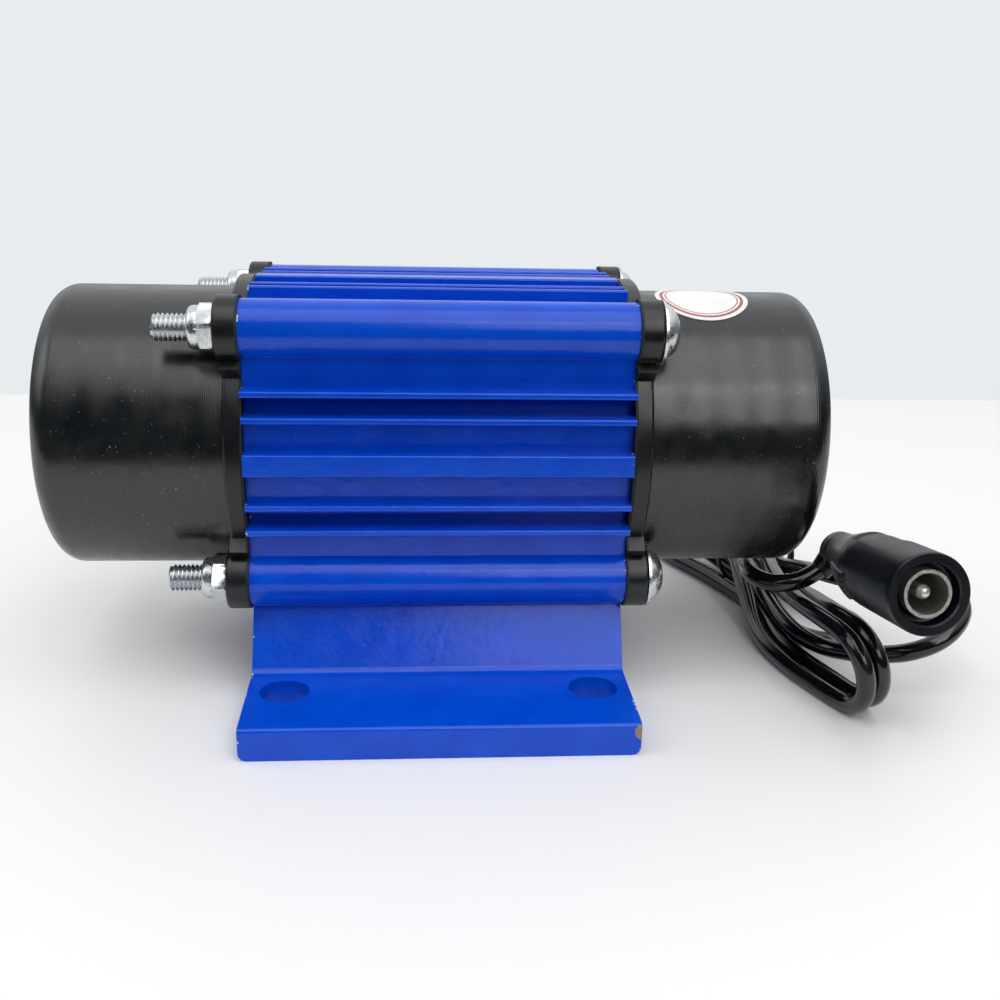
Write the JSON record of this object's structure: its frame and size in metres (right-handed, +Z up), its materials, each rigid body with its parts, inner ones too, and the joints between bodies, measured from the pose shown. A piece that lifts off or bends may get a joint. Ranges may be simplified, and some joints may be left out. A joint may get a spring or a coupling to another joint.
{
  "type": "vibration motor",
  "caption": "Foot-mounted DC vibration motor: finned housing, cup covers over eccentric weights on the rotor shaft, long tie screws, and a cord with a barrel connector.",
  "frame": {"origin": "on the mounting surface, under the middle of the housing: the bottom centre of the motor without its cord", "axes": "+X along the motor shaft towards the screw heads and the cord's end, +Y across the feet to the back, +Z up"},
  "size_m": [0.1835, 0.1292, 0.0763],
  "materials": {
    "blue_paint": "glossy sprayed enamel on extruded aluminium",
    "black_shield": "satin moulded glass-filled nylon",
    "black_cover": "satin moulded glass-filled nylon with faint turning marks",
    "gasket_rubber": "flat nitrile sheet",
    "zinc_steel": "bright zinc plated steel",
    "white_nylon": "natural nylon",
    "bearing_steel": "ground bearing steel",
    "shaft_steel": "ground steel",
    "weight_steel": "sawn and turned mild steel",
    "black_steel": "black oxide screw",
    "core_steel": "stacked electrical steel",
    "copper_wire": "varnished copper winding",
    "copper_bar": "turned copper",
    "phenolic": "phenolic moulding",
    "yoke_steel": "bare steel tube",
    "ferrite": "sintered ferrite",
    "brass": "folded brass",
    "carbon": "carbon graphite",
    "spring_steel": "spring wire",
    "lead_red": "PVC insulation",
    "lead_black": "PVC insulation",
    "cord_pvc": "glossy flexible PVC",
    "jack_rubber": "moulded flexible PVC",
    "jack_nickel": "nickel plated brass",
    "jack_plastic": "black insulator"
  },
  "bodies": {
    "stator": {"bearing_balls_left": "bearing_steel", "bearing_balls_right": "bearing_steel", "bearing_outer_left": "bearing_steel", "bearing_outer_right": "bearing_steel", "brush_holder_lower": "brass", "brush_holder_upper": "brass", "brush_lower": "carbon", "brush_plate": "phenolic", "brush_spring_lower": "spring_steel", "brush_spring_upper": "spring_steel", "brush_upper": "carbon", "cable_gland": "cord_pvc", "connector_body": "jack_rubber", "connector_insulator": "jack_plastic", "connector_pin": "jack_nickel", "connector_shell": "jack_nickel", "cord_exit": "cord_pvc", "cord_hank": "cord_pvc", "cord_lead": "cord_pvc", "cord_loop": "cord_pvc", "end_shield_left": "black_shield", "end_shield_right": "black_shield", "gasket_left": "gasket_rubber", "gasket_right": "gasket_rubber", "housing": "blue_paint", "lead_lower": "lead_black", "lead_upper": "lead_red", "lock_nuts": "zinc_steel", "magnet_front": "ferrite", "magnet_rear": "ferrite", "nut_inserts": "white_nylon", "tie_screws": "zinc_steel", "washers": "zinc_steel", "weight_cover_left": "black_cover", "weight_cover_right": "black_cover", "yoke": "yoke_steel"},
    "rotor": {"rotor_shaft": "shaft_steel", "armature_core": "core_steel", "armature_winding": "copper_wire", "commutator_hub": "phenolic", "commutator_bars": "copper_bar", "bearing_inner_left": "bearing_steel", "bearing_inner_right": "bearing_steel", "weight_spacer_left": "shaft_steel", "weight_spacer_right": "shaft_steel", "eccentric_weight_left": "weight_steel", "eccentric_weight_right": "weight_steel", "clamp_screw_left": "black_steel", "clamp_screw_right": "black_steel", "retaining_ring_left": "shaft_steel", "retaining_ring_right": "shaft_steel"}
  },
  "joints": [
    {"name": "rotor_spin", "type": "hinge", "parent": "stator", "child": "rotor", "pos_m": [0, 0, 0.0465], "axis": [1, 0, 0], "continuous": true}
  ]
}
